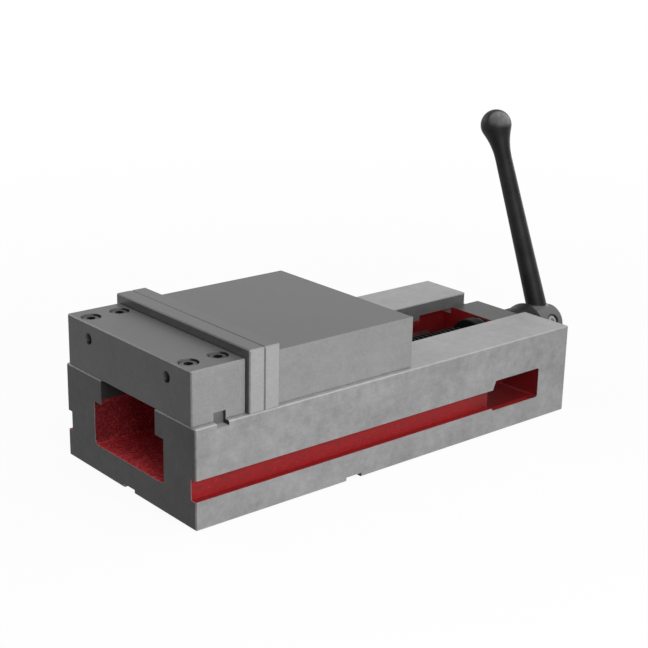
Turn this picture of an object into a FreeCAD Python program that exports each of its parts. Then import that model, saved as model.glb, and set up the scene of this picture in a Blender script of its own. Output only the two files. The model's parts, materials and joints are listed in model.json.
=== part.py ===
import FreeCAD, Part

import math
import os

from FreeCAD import Placement, Rotation, Vector

# Precision machine vise, millimetres, +Z up.
# Origin: on the underside, mid width, straight below the clamping face of the
# fixed jaw plate. +X runs from the fixed jaw to the crank handle. The jaws are
# closed, so both clamping faces lie in the plane X = 0.

# General clearances and edge breaks
EDGE_BREAK = 0.8
RUNNING_CLEARANCE = 0.05
THREAD_CLEARANCE = 0.1

# Bed, an iron casting with a T-shaped channel along its middle
BED_LENGTH = 360.0
BED_WIDTH = 160.0
BED_HEIGHT = 71.0
RAIL_GAP = 67.0
LIP_THICKNESS = 18.2
CHANNEL_WIDTH = 86.6
CHANNEL_DEPTH = 50.6
CHANNEL_CORNER_RADIUS = 4.0
RELIEF_LIP_THICKNESS = 10.6
RELIEF_LENGTH = 38.0
BEARING_WALL_INSET = 16.0
BOSS_OVERHANG = 16.0
BOSS_DROP = 10.0
BOSS_BELOW_AXIS = 27.0
BOSS_CORNER_RADIUS = 12.0
RAIL_END_RADIUS = 3.0
SIDE_GROOVE_BELOW_FLOOR = 0.1
SIDE_GROOVE_HEIGHT = 15.0
SIDE_GROOVE_DEPTH = 5.5
WINDOW_LENGTH = 51.5
WINDOW_BELOW_FLOOR = 2.1
WINDOW_HEIGHT = 24.1
WINDOW_KNEE = 3.0
WINDOW_TO_WALL = 16.5
WINDOW_CORNER_RADIUS = 1.8
KEYWAY_WIDTH = 14.0
KEYWAY_DEPTH = 3.0
CROSS_KEYWAY_FROM_FRONT = 136.0

# Fixed jaw, its key and its screws
JAW_SIDE_INSET = 4.0
JAW_HEIGHT = 38.0
FIXED_JAW_DEPTH = 43.0
KEY_WIDTH = 9.6
KEY_FROM_FRONT = 21.9
KEY_DEPTH_IN_BED = 3.0
KEY_DEPTH_IN_JAW = 6.3
KEY_RECESS = 2.5
KEY_SLOT_CLEARANCE = 0.05
JAW_SCREW_TOWARDS_CHANNEL = 2.15
JAW_SCREW_PITCH = 23.3
JAW_SCREW_FROM_FRONT = 9.3
JAW_SCREW_LENGTH = 50.0
JAW_COUNTERBORE_DIAMETER = 14.5
HEAD_RECESS = 1.0

# Hard jaw plates
PLATE_HEIGHT = 44.5
PLATE_THICKNESS = 12.5
PLATE_SCREW_INSIDE_JAW_SCREW = 11.5
PLATE_SCREW_HEIGHT = 26.5
PLATE_SCREW_LENGTH = 25.0
WORK_STOP_THREAD_DEPTH = 20.0
TAP_DRILL_DIAMETER = 6.8
TAP_DRILL_CORE = 1.5
PLATE_COUNTERBORE_DIAMETER = 14.0
PLATE_HEAD_RECESS = 0.4

# Socket head cap screws of the jaws and plates
CAP_SCREW_DIAMETER = 8.0
CAP_HEAD_DIAMETER = 13.0
CAP_HEAD_HEIGHT = 8.0
CAP_SOCKET_FLATS = 6.0
CAP_SOCKET_DEPTH = 4.0
SCREW_CHAMFER = 0.8

# Movable jaw with its guide rib and the pocket of the angle lock
MOVABLE_JAW_DEPTH = 124.5
GUIDE_CLEARANCE = 0.2
GUIDE_RIB_DEPTH = 9.0
GUIDE_RIB_INSET = 3.5
POCKET_CLEARANCE = 1.5
POCKET_ROOF = 8.0
JAW_TRAVEL = 150.0

# Angle lock: half-ball segment between the nut's leaning face and the jaw
LOCK_ANGLE = 45.0
SEGMENT_RADIUS = 14.0
SEGMENT_BEHIND_PLATE = 49.5
SEGMENT_ABOVE_RAIL = 13.0

# Nut
NUT_LENGTH = 60.0
NUT_BEHIND_PLATE = 37.5
NUT_FLOOR_CLEARANCE = 3.6
NUT_SIDE_CLEARANCE = 0.5
NUT_LIP_CLEARANCE = 0.3
NUT_NECK_CLEARANCE = 0.3
NUT_CHAMFER = 2.0
TONGUE_WIDTH = 44.0
TONGUE_REAR_INSET = 2.0
TONGUE_NOSE = 2.0

# Adjusting screw behind the tongue
ADJUSTER_DIAMETER = 10.0
ADJUSTER_RECESS = 3.0
ADJUSTER_ABOVE_RAIL = 11.0
ADJUSTER_SOCKET_FLATS = 5.0

# Lead screw and its bearing
SCREW_BELOW_RAIL = 30.0
SCREW_DIAMETER = 32.0
SCREW_TIP_LENGTH = 16.0
THREAD_RUNOUT = 5.5
THREAD_RELIEF_DEPTH = 3.0
FLANGE_DIAMETER = 39.6
FLANGE_THICKNESS = 10.0
JOURNAL_DIAMETER = 22.0
SPIGOT_DIAMETER = 20.0
SPIGOT_FLAT_DEPTH = 1.5
SPIGOT_END_RECESS = 1.5
WASHER_THICKNESS = 1.0
WASHER_DIAMETER = 38.4
NEEDLE_SPACE = 2.0
NEEDLE_DIAMETER = 1.9
NEEDLE_LENGTH = 4.8
NEEDLE_COUNT = 18
NEEDLE_RING_RADIUS = 15.2
NEEDLE_CLEARANCE = 0.1
CAGE_THICKNESS = 1.4
CAGE_WALL = 1.2
BUSH_WALL = 4.0

# Retaining collar behind the boss
THRUST_WASHER_THICKNESS = 1.0
COLLAR_DIAMETER = 38.4
COLLAR_BEAD_DIAMETER = 42.0
COLLAR_LENGTH = 26.0
COLLAR_BEAD_LENGTH = 7.0
COLLAR_FLARE_LENGTH = 8.0
COLLAR_SCREW_DIAMETER = 6.0
COLLAR_SCREW_FROM_FRONT = 8.0
COLLAR_SCREW_FLATS = 3.0

# Crank handle
HUB_GAP = 1.0
HUB_DIAMETER = 31.0
HUB_LENGTH = 30.0
HUB_RIM_RADIUS = 4.5
ARM_FROM_HUB_FRONT = 16.0
ARM_LEAN = 21.8
ARM_LENGTH = 175.9
ARM_ROOT_DIAMETER = 18.2
ARM_MIDDLE_DIAMETER = 15.3
ARM_NECK_DIAMETER = 14.4
ARM_FLARE_RADIUS = 60.0
ARM_ROOT_FILLET = 3.0
BALL_DIAMETER = 26.7
HANDLE_SCREW_DIAMETER = 10.0
HANDLE_SCREW_FLATS = 5.0
HANDLE_SCREW_RECESS = 1.2
HANDLE_SCREW_COUNTERSINK = 1.0

# Places that follow from the sizes above
FIXED_JAW_REAR = -PLATE_THICKNESS
BED_FRONT = FIXED_JAW_REAR - FIXED_JAW_DEPTH
BED_REAR = BED_FRONT + BED_LENGTH
WALL_FRONT = BED_REAR - BEARING_WALL_INSET
BOSS_REAR = BED_REAR + BOSS_OVERHANG
BOSS_TOP = BED_HEIGHT - BOSS_DROP
LIP_UNDERSIDE = BED_HEIGHT - LIP_THICKNESS
FLOOR_TOP = BED_HEIGHT - CHANNEL_DEPTH
SCREW_AXIS_HEIGHT = BED_HEIGHT - SCREW_BELOW_RAIL
BOSS_UNDERSIDE = SCREW_AXIS_HEIGHT - BOSS_BELOW_AXIS
SIDE_GROOVE_BOTTOM = FLOOR_TOP - SIDE_GROOVE_BELOW_FLOOR
SIDE_GROOVE_TOP = SIDE_GROOVE_BOTTOM + SIDE_GROOVE_HEIGHT
WINDOW_BOTTOM = FLOOR_TOP - WINDOW_BELOW_FLOOR
WINDOW_TOP = WINDOW_BOTTOM + WINDOW_HEIGHT
WINDOW_REAR = WALL_FRONT - WINDOW_TO_WALL
WINDOW_FRONT = WINDOW_REAR - WINDOW_LENGTH
KEY_CENTRE = BED_FRONT + KEY_FROM_FRONT
JAW_WIDTH = BED_WIDTH - 2 * JAW_SIDE_INSET
JAW_TOP = BED_HEIGHT + JAW_HEIGHT
PLATE_SCREW_Z = BED_HEIGHT + PLATE_SCREW_HEIGHT
SIDE_WALL_MIDDLE = (BED_WIDTH + CHANNEL_WIDTH) / 4
JAW_SCREW_Y = SIDE_WALL_MIDDLE - JAW_SCREW_TOWARDS_CHANNEL
PLATE_SCREW_Y = JAW_SCREW_Y - PLATE_SCREW_INSIDE_JAW_SCREW
MOVABLE_FRONT = PLATE_THICKNESS
MOVABLE_REAR = MOVABLE_FRONT + MOVABLE_JAW_DEPTH
RIB_UNDERSIDE = BED_HEIGHT - GUIDE_RIB_DEPTH
RIB_WIDTH = RAIL_GAP - 2 * GUIDE_CLEARANCE
SEGMENT_X = MOVABLE_FRONT + SEGMENT_BEHIND_PLATE
SEGMENT_Z = BED_HEIGHT + SEGMENT_ABOVE_RAIL
POCKET_TOP = JAW_TOP - POCKET_ROOF
NUT_FRONT = MOVABLE_FRONT + NUT_BEHIND_PLATE
NUT_REAR = NUT_FRONT + NUT_LENGTH
NUT_UNDERSIDE = FLOOR_TOP + NUT_FLOOR_CLEARANCE
NECK_TOP = RIB_UNDERSIDE - NUT_NECK_CLEARANCE
TONGUE_TOP = POCKET_TOP - POCKET_CLEARANCE
TONGUE_REAR = NUT_REAR - TONGUE_REAR_INSET
ADJUSTER_Z = BED_HEIGHT + ADJUSTER_ABOVE_RAIL
REAR_WASHER_FRONT = WALL_FRONT - WASHER_THICKNESS
NEEDLES_FRONT = REAR_WASHER_FRONT - NEEDLE_SPACE
FLANGE_REAR = NEEDLES_FRONT - WASHER_THICKNESS
FLANGE_FRONT = FLANGE_REAR - FLANGE_THICKNESS
SCREW_TIP = NUT_FRONT - SCREW_TIP_LENGTH
THREAD_END = NUT_REAR + JAW_TRAVEL + THREAD_RUNOUT
COLLAR_FRONT = BOSS_REAR + THRUST_WASHER_THICKNESS
COLLAR_REAR = COLLAR_FRONT + COLLAR_LENGTH
HUB_FRONT = COLLAR_REAR + HUB_GAP
HUB_REAR = HUB_FRONT + HUB_LENGTH
ARM_X = HUB_FRONT + ARM_FROM_HUB_FRONT
SPIGOT_END = HUB_REAR - SPIGOT_END_RECESS

X_AXIS = Vector(1, 0, 0)
Y_AXIS = Vector(0, 1, 0)
Z_AXIS = Vector(0, 0, 1)


def box(x_low, x_high, y_low, y_high, z_low, z_high):
    """Block between two corners."""
    corner = Vector(x_low, y_low, z_low)
    return Part.makeBox(x_high - x_low, y_high - y_low, z_high - z_low, corner)


def eased_box(x_low, x_high, y_low, y_high, z_low, z_high, ease=EDGE_BREAK):
    """Block with every edge broken by a small chamfer."""
    block = box(x_low, x_high, y_low, y_high, z_low, z_high)
    return block.makeChamfer(ease, block.Edges)


def face_of(points):
    """Plane face inside a closed run of corner points."""
    return Part.Face(Part.makePolygon(points + [points[0]]))


def prism_along_x(outline, x_low, x_high):
    """Outline of (y, z) corners pulled along X."""
    points = [Vector(x_low, y, z) for y, z in outline]
    return face_of(points).extrude(X_AXIS * (x_high - x_low))


def prism_along_y(outline, y_low, y_high):
    """Outline of (x, z) corners pulled along Y."""
    points = [Vector(x, y_low, z) for x, z in outline]
    return face_of(points).extrude(Y_AXIS * (y_high - y_low))


def turned_on_screw_axis(wire_edges):
    """Solid of revolution about the screw's axis, from edges in the XZ plane."""
    profile = Part.Face(Part.Wire(wire_edges))
    axis_point = Vector(0, 0, SCREW_AXIS_HEIGHT)
    return profile.revolve(axis_point, X_AXIS, 360)


def screw_axis_point(x, radius):
    """Point above the screw's axis, at a radius from it."""
    return Vector(x, 0, SCREW_AXIS_HEIGHT + radius)


def lines_through(points):
    """Straight edges from point to point, closed back to the first."""
    return [Part.LineSegment(a, b).toShape() for a, b in zip(points, points[1:] + points[:1])]


def turned_profile(corners):
    """Solid of revolution from (x, radius) corners joined by straight lines."""
    return turned_on_screw_axis(lines_through([screw_axis_point(x, r) for x, r in corners]))


def cylinder_on_screw_axis(diameter, x_low, x_high):
    """Round bar along the screw's axis."""
    start = Vector(x_low, 0, SCREW_AXIS_HEIGHT)
    return Part.makeCylinder(diameter / 2, x_high - x_low, start, X_AXIS)


def ring_on_screw_axis(outer_diameter, inner_diameter, x_low, x_high):
    """Washer or sleeve on the screw's axis."""
    outer = cylinder_on_screw_axis(outer_diameter, x_low, x_high)
    return outer.cut(cylinder_on_screw_axis(inner_diameter, x_low, x_high))


def placed(shape, position, direction):
    """Copy of a shape made along +Z, moved to a position and turned to a direction."""
    moved = shape.copy()
    moved.Placement = Placement(position, Rotation(Z_AXIS, direction))
    return moved


def edges_at(shape, test):
    """Edges whose middle point passes the test."""
    chosen = []
    for edge in shape.Edges:
        middle = edge.valueAt((edge.FirstParameter + edge.LastParameter) / 2)
        if test(middle):
            chosen.append(edge)
    return chosen


def near(value, target, tolerance=0.01):
    """True where two lengths agree."""
    return abs(value - target) < tolerance


def one_solid(shape):
    """The single solid of a finished shape, with split faces merged."""
    clean = shape.removeSplitter()
    return clean.Solids[0] if len(clean.Solids) == 1 else clean


def hexagon(across_flats, depth):
    """Hexagonal plug along +Z from the origin."""
    radius = across_flats / math.sqrt(3)
    corners = []
    for step in range(6):
        angle = math.radians(60 * step)
        corners.append(Vector(radius * math.cos(angle), radius * math.sin(angle), 0))
    return face_of(corners).extrude(Z_AXIS * depth)


def cap_screw(length):
    """Socket head cap screw, head seat at the origin and head towards +Z."""
    shank_radius = CAP_SCREW_DIAMETER / 2
    head_radius = CAP_HEAD_DIAMETER / 2
    corners = [
        Vector(0, 0, -length),
        Vector(shank_radius - SCREW_CHAMFER, 0, -length),
        Vector(shank_radius, 0, SCREW_CHAMFER - length),
        Vector(shank_radius, 0, 0),
        Vector(head_radius, 0, 0),
        Vector(head_radius, 0, CAP_HEAD_HEIGHT - SCREW_CHAMFER),
        Vector(head_radius - SCREW_CHAMFER, 0, CAP_HEAD_HEIGHT),
        Vector(0, 0, CAP_HEAD_HEIGHT),
    ]
    screw = face_of(corners).revolve(Vector(0, 0, 0), Z_AXIS, 360)
    socket = hexagon(CAP_SOCKET_FLATS, CAP_SOCKET_DEPTH)
    socket.translate(Vector(0, 0, CAP_HEAD_HEIGHT - CAP_SOCKET_DEPTH))
    return screw.cut(socket)


def set_screw(diameter, length, socket_flats):
    """Headless socket screw, tip at the origin and socket towards +Z."""
    radius = diameter / 2
    corners = [
        Vector(0, 0, 0),
        Vector(radius - SCREW_CHAMFER, 0, 0),
        Vector(radius, 0, SCREW_CHAMFER),
        Vector(radius, 0, length - SCREW_CHAMFER),
        Vector(radius - SCREW_CHAMFER, 0, length),
        Vector(0, 0, length),
    ]
    screw = face_of(corners).revolve(Vector(0, 0, 0), Z_AXIS, 360)
    socket_depth = length / 2
    socket = hexagon(socket_flats, socket_depth)
    socket.translate(Vector(0, 0, length - socket_depth))
    return screw.cut(socket)


def hole(diameter, start, direction, depth):
    """Round cutter from a start point along a direction."""
    return Part.makeCylinder(diameter / 2, depth, start, direction)


# Bed

def channel_cutter():
    """T-shaped channel, open at the front and at the top between the rails."""
    gap = RAIL_GAP / 2
    cavity = CHANNEL_WIDTH / 2
    outline = [
        (-gap - EDGE_BREAK, BED_HEIGHT),
        (-gap, BED_HEIGHT - EDGE_BREAK),
        (-gap, LIP_UNDERSIDE),
        (-cavity, LIP_UNDERSIDE),
        (-cavity, FLOOR_TOP),
        (cavity, FLOOR_TOP),
        (cavity, LIP_UNDERSIDE),
        (gap, LIP_UNDERSIDE),
        (gap, BED_HEIGHT - EDGE_BREAK),
        (gap + EDGE_BREAK, BED_HEIGHT),
    ]
    channel = prism_along_x(outline, BED_FRONT, WALL_FRONT)
    floor_edges = edges_at(channel, lambda p: near(abs(p.y), cavity) and near(p.z, FLOOR_TOP))
    return channel.makeFillet(CHANNEL_CORNER_RADIUS, floor_edges)


def lip_relief_cutter():
    """Relief under both lips in front of the bearing wall, where the nut goes in."""
    cavity = CHANNEL_WIDTH / 2
    roof = BED_HEIGHT - RELIEF_LIP_THICKNESS
    return box(WALL_FRONT - RELIEF_LENGTH, WALL_FRONT, -cavity, cavity, LIP_UNDERSIDE, roof)


def rear_gap_cutter():
    """Space between the rails above the bearing wall."""
    gap = RAIL_GAP / 2
    outline = [
        (-gap - EDGE_BREAK, BED_HEIGHT),
        (-gap, BED_HEIGHT - EDGE_BREAK),
        (-gap, BOSS_TOP),
        (gap, BOSS_TOP),
        (gap, BED_HEIGHT - EDGE_BREAK),
        (gap + EDGE_BREAK, BED_HEIGHT),
    ]
    return prism_along_x(outline, WALL_FRONT, BED_REAR)


def rail_end_rounding(side):
    """Waste between the square rear corner of a rail and its rounded form."""
    gap = side * RAIL_GAP / 2
    deep = side * (RAIL_GAP / 2 + RAIL_END_RADIUS)
    low, high = min(gap, deep), max(gap, deep)
    corner = box(BED_REAR - RAIL_END_RADIUS, BED_REAR, low, high, BOSS_TOP, BED_HEIGHT)
    centre = Vector(BED_REAR - RAIL_END_RADIUS, deep, BOSS_TOP)
    return corner.cut(Part.makeCylinder(RAIL_END_RADIUS, BED_HEIGHT - BOSS_TOP, centre, Z_AXIS))


def bearing_boss():
    """Boss of the screw bearing that stands out behind the rails."""
    half_width = RAIL_GAP / 2
    boss = box(BED_REAR, BOSS_REAR, -half_width, half_width, BOSS_UNDERSIDE, BOSS_TOP)
    lower = edges_at(boss, lambda p: near(abs(p.y), half_width) and near(p.z, BOSS_UNDERSIDE))
    boss = boss.makeFillet(BOSS_CORNER_RADIUS, lower)
    rim = edges_at(boss, lambda p: near(p.x, BOSS_REAR))
    return boss.makeChamfer(EDGE_BREAK, rim)


def side_groove(side):
    """Clamping groove along one side of the bed, up to its window."""
    outer = side * BED_WIDTH / 2
    inner = side * (BED_WIDTH / 2 - SIDE_GROOVE_DEPTH)
    low, high = min(outer, inner), max(outer, inner)
    return box(BED_FRONT, WINDOW_FRONT, low, high, SIDE_GROOVE_BOTTOM, SIDE_GROOVE_TOP)


def chip_window(side):
    """Window through one side wall, where chips and coolant leave the channel."""
    outline = [
        (WINDOW_FRONT, WINDOW_BOTTOM),
        (WINDOW_REAR, WINDOW_BOTTOM),
        (WINDOW_REAR, WINDOW_TOP),
        (WINDOW_FRONT + WINDOW_KNEE, WINDOW_TOP),
        (WINDOW_FRONT, SIDE_GROOVE_TOP),
    ]
    outer = side * BED_WIDTH / 2
    inner = side * (CHANNEL_WIDTH / 2 - CHANNEL_CORNER_RADIUS)
    window = prism_along_y(outline, min(outer, inner), max(outer, inner))
    corners = [(WINDOW_FRONT, WINDOW_BOTTOM), (WINDOW_REAR, WINDOW_BOTTOM), (WINDOW_REAR, WINDOW_TOP)]
    rounded = edges_at(window, lambda p: any(near(p.x, x) and near(p.z, z) for x, z in corners))
    return window.makeFillet(WINDOW_CORNER_RADIUS, rounded)


def key_slots_of_bed():
    """Slot for the fixed jaw's key, and the two keyways of the underside."""
    half_key = KEY_WIDTH / 2 + KEY_SLOT_CLEARANCE
    half_bed = BED_WIDTH / 2
    jaw_key = box(KEY_CENTRE - half_key, KEY_CENTRE + half_key, -half_bed, half_bed,
                  BED_HEIGHT - KEY_DEPTH_IN_BED, BED_HEIGHT)
    half_way = KEYWAY_WIDTH / 2
    centre = BED_FRONT + CROSS_KEYWAY_FROM_FRONT
    long_way = box(BED_FRONT, BED_REAR, -half_way, half_way, 0, KEYWAY_DEPTH)
    cross_way = box(centre - half_way, centre + half_way, -half_bed, half_bed, 0, KEYWAY_DEPTH)
    return [jaw_key, long_way, cross_way]


def jaw_screw_places():
    """Axes of the four screws that hold the fixed jaw down, as (x, y)."""
    places = []
    for row in range(2):
        for side in (-1, 1):
            x = BED_FRONT + JAW_SCREW_FROM_FRONT + row * JAW_SCREW_PITCH
            places.append((x, side * JAW_SCREW_Y))
    return places


def make_bed():
    """Bed casting with rails, channel, bearing wall, windows and keyways."""
    half = BED_WIDTH / 2
    bed = eased_box(BED_FRONT, BED_REAR, -half, half, 0, BED_HEIGHT)
    bed = bed.cut([channel_cutter(), lip_relief_cutter(), rear_gap_cutter()])
    bed = bed.fuse(bearing_boss())
    cutters = [rail_end_rounding(side) for side in (-1, 1)]
    cutters += [side_groove(side) for side in (-1, 1)]
    cutters += [chip_window(side) for side in (-1, 1)]
    cutters += key_slots_of_bed()
    bore_diameter = JOURNAL_DIAMETER + 2 * (RUNNING_CLEARANCE + BUSH_WALL)
    cutters.append(cylinder_on_screw_axis(bore_diameter, WALL_FRONT, BOSS_REAR))
    seat = JAW_TOP - HEAD_RECESS - CAP_HEAD_HEIGHT
    tapped = CAP_SCREW_DIAMETER + 2 * THREAD_CLEARANCE
    bottom = seat - JAW_SCREW_LENGTH - CAP_SCREW_DIAMETER / 2
    for x, y in jaw_screw_places():
        cutters.append(hole(tapped, Vector(x, y, bottom), Z_AXIS, BED_HEIGHT - bottom))
    return one_solid(bed.cut(cutters))


# Fixed jaw

def make_fixed_jaw():
    """Fixed jaw block, keyed and screwed down flush with the bed's front end."""
    half = JAW_WIDTH / 2
    jaw = eased_box(BED_FRONT, FIXED_JAW_REAR, -half, half, BED_HEIGHT, JAW_TOP)
    half_key = KEY_WIDTH / 2 + KEY_SLOT_CLEARANCE
    cutters = [box(KEY_CENTRE - half_key, KEY_CENTRE + half_key, -half, half,
                   BED_HEIGHT, BED_HEIGHT + KEY_DEPTH_IN_JAW)]
    seat = JAW_TOP - HEAD_RECESS - CAP_HEAD_HEIGHT
    clear = CAP_SCREW_DIAMETER + 2 * THREAD_CLEARANCE
    for x, y in jaw_screw_places():
        cutters.append(hole(clear, Vector(x, y, BED_HEIGHT), Z_AXIS, JAW_HEIGHT))
        cutters.append(hole(JAW_COUNTERBORE_DIAMETER, Vector(x, y, seat), Z_AXIS, JAW_TOP - seat))
    core_end = BED_FRONT + WORK_STOP_THREAD_DEPTH + TAP_DRILL_CORE
    for side in (-1, 1):
        start = Vector(BED_FRONT, side * PLATE_SCREW_Y, PLATE_SCREW_Z)
        rear = Vector(core_end, side * PLATE_SCREW_Y, PLATE_SCREW_Z)
        cutters.append(hole(clear, start, X_AXIS, WORK_STOP_THREAD_DEPTH))
        cutters.append(hole(TAP_DRILL_DIAMETER, start, X_AXIS, FIXED_JAW_DEPTH))
        cutters.append(hole(clear, rear, X_AXIS, FIXED_JAW_REAR - core_end))
    return one_solid(jaw.cut(cutters))


def make_fixed_jaw_key():
    """Key between bed and fixed jaw, short of the jaw's sides."""
    half = JAW_WIDTH / 2 - KEY_RECESS
    low = BED_HEIGHT - KEY_DEPTH_IN_BED
    return box(KEY_CENTRE - KEY_WIDTH / 2, KEY_CENTRE + KEY_WIDTH / 2, -half, half,
               low, BED_HEIGHT + KEY_DEPTH_IN_JAW)


def make_fixed_jaw_screws():
    """Four cap screws of the fixed jaw."""
    seat = JAW_TOP - HEAD_RECESS - CAP_HEAD_HEIGHT
    screw = cap_screw(JAW_SCREW_LENGTH)
    return Part.makeCompound([placed(screw, Vector(x, y, seat), Z_AXIS)
                              for x, y in jaw_screw_places()])


# Jaw plates

def jaw_plate(face_direction):
    """Hard jaw plate whose clamping face lies at X = 0 and looks to the given side."""
    half = BED_WIDTH / 2
    back = -face_direction * PLATE_THICKNESS
    low, high = min(0, back), max(0, back)
    plate = eased_box(low, high, -half, half, BED_HEIGHT, BED_HEIGHT + PLATE_HEIGHT)
    depth = PLATE_HEAD_RECESS + CAP_HEAD_HEIGHT
    inward = X_AXIS * -face_direction
    clear = CAP_SCREW_DIAMETER + 2 * THREAD_CLEARANCE
    cutters = []
    for side in (-1, 1):
        start = Vector(0, side * PLATE_SCREW_Y, PLATE_SCREW_Z)
        cutters.append(hole(PLATE_COUNTERBORE_DIAMETER, start, inward, depth))
        cutters.append(hole(clear, start, inward, PLATE_THICKNESS))
    return one_solid(plate.cut(cutters))


def plate_screws(face_direction):
    """Two cap screws that hold a jaw plate, heads towards its clamping face."""
    seat = -face_direction * (PLATE_HEAD_RECESS + CAP_HEAD_HEIGHT)
    screw = cap_screw(PLATE_SCREW_LENGTH)
    outward = X_AXIS * face_direction
    return Part.makeCompound([
        placed(screw, Vector(seat, side * PLATE_SCREW_Y, PLATE_SCREW_Z), outward)
        for side in (-1, 1)])


# Angle lock and movable jaw

def lock_direction():
    """Direction in which the half ball presses into the jaw, forwards and down."""
    angle = math.radians(LOCK_ANGLE)
    return Vector(-math.cos(angle), 0, -math.sin(angle))


def lock_plane_x(z, offset=0.0):
    """X of the leaning lock face at height z, moved by an offset towards the jaw."""
    angle = math.radians(LOCK_ANGLE)
    return SEGMENT_X - (z - SEGMENT_Z) * math.tan(angle) - offset / math.cos(angle)


def make_lock_segment():
    """Half ball, its flat side on the nut's leaning face."""
    centre = Vector(SEGMENT_X, 0, SEGMENT_Z)
    ball = Part.makeSphere(SEGMENT_RADIUS, centre)
    size = 2 * SEGMENT_RADIUS
    keep = Part.makeBox(2 * size, 2 * size, size, Vector(-size, -size, 0))
    return one_solid(ball.common(placed(keep, centre, lock_direction())))


def lock_pocket():
    """Pocket under the movable jaw for the nut's tongue, with the leaning wall."""
    half = TONGUE_WIDTH / 2 + POCKET_CLEARANCE
    rear = TONGUE_REAR + POCKET_CLEARANCE
    nose_x = lock_plane_x(TONGUE_TOP - TONGUE_NOSE, POCKET_CLEARANCE)
    outline = [
        (lock_plane_x(RIB_UNDERSIDE, POCKET_CLEARANCE), RIB_UNDERSIDE),
        (nose_x, TONGUE_TOP - TONGUE_NOSE),
        (nose_x, POCKET_TOP),
        (rear, POCKET_TOP),
        (rear, RIB_UNDERSIDE),
    ]
    return prism_along_y(outline, -half, half)


def make_movable_jaw():
    """Movable jaw: ground block on the rails with a guide rib between them."""
    half = JAW_WIDTH / 2
    jaw = eased_box(MOVABLE_FRONT, MOVABLE_REAR, -half, half, BED_HEIGHT, JAW_TOP)
    rib = eased_box(MOVABLE_FRONT + GUIDE_RIB_INSET, MOVABLE_REAR - GUIDE_RIB_INSET,
                    -RIB_WIDTH / 2, RIB_WIDTH / 2, RIB_UNDERSIDE, BED_HEIGHT + GUIDE_RIB_DEPTH)
    jaw = jaw.fuse(rib)
    socket = Part.makeSphere(SEGMENT_RADIUS + RUNNING_CLEARANCE, Vector(SEGMENT_X, 0, SEGMENT_Z))
    cutters = [lock_pocket(), socket]
    tapped = CAP_SCREW_DIAMETER + 2 * THREAD_CLEARANCE
    for side in (-1, 1):
        start = Vector(MOVABLE_FRONT, side * PLATE_SCREW_Y, PLATE_SCREW_Z)
        cutters.append(hole(tapped, start, X_AXIS, PLATE_SCREW_LENGTH))
    start = Vector(TONGUE_REAR, 0, ADJUSTER_Z)
    adjuster = ADJUSTER_DIAMETER + 2 * THREAD_CLEARANCE
    cutters.append(hole(adjuster, start, X_AXIS, MOVABLE_REAR - TONGUE_REAR))
    return one_solid(jaw.cut(cutters))


def make_nut():
    """Nut with wings under the bed's lips and a tongue that leans over the half ball."""
    half_wing = CHANNEL_WIDTH / 2 - NUT_SIDE_CLEARANCE
    half_neck = RIB_WIDTH / 2
    wing_top = LIP_UNDERSIDE - NUT_LIP_CLEARANCE
    outline = [
        (-half_wing + CHANNEL_CORNER_RADIUS, NUT_UNDERSIDE),
        (half_wing - CHANNEL_CORNER_RADIUS, NUT_UNDERSIDE),
        (half_wing, NUT_UNDERSIDE + CHANNEL_CORNER_RADIUS),
        (half_wing, wing_top),
        (half_neck, wing_top),
        (half_neck, NECK_TOP),
        (-half_neck, NECK_TOP),
        (-half_neck, wing_top),
        (-half_wing, wing_top),
        (-half_wing, NUT_UNDERSIDE + CHANNEL_CORNER_RADIUS),
    ]
    body = prism_along_x(outline, NUT_FRONT, NUT_REAR)
    ends = edges_at(body, lambda p: near(p.x, NUT_FRONT) or near(p.x, NUT_REAR))
    body = body.makeChamfer(NUT_CHAMFER, ends)
    nose_z = TONGUE_TOP - TONGUE_NOSE
    tongue_outline = [
        (lock_plane_x(NECK_TOP), NECK_TOP),
        (lock_plane_x(nose_z), nose_z),
        (lock_plane_x(nose_z), TONGUE_TOP),
        (TONGUE_REAR, TONGUE_TOP),
        (TONGUE_REAR, NECK_TOP),
    ]
    tongue = prism_along_y(tongue_outline, -TONGUE_WIDTH / 2, TONGUE_WIDTH / 2)
    bore = SCREW_DIAMETER + 2 * RUNNING_CLEARANCE
    nut = body.fuse(tongue).cut(cylinder_on_screw_axis(bore, NUT_FRONT, NUT_REAR))
    return one_solid(nut)


def make_adjusting_screw():
    """Set screw in the jaw's rear wall that takes up the nut's slack."""
    length = MOVABLE_REAR - ADJUSTER_RECESS - TONGUE_REAR
    screw = set_screw(ADJUSTER_DIAMETER, length, ADJUSTER_SOCKET_FLATS)
    return placed(screw, Vector(TONGUE_REAR, 0, ADJUSTER_Z), X_AXIS)


# Lead screw and bearing

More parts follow.
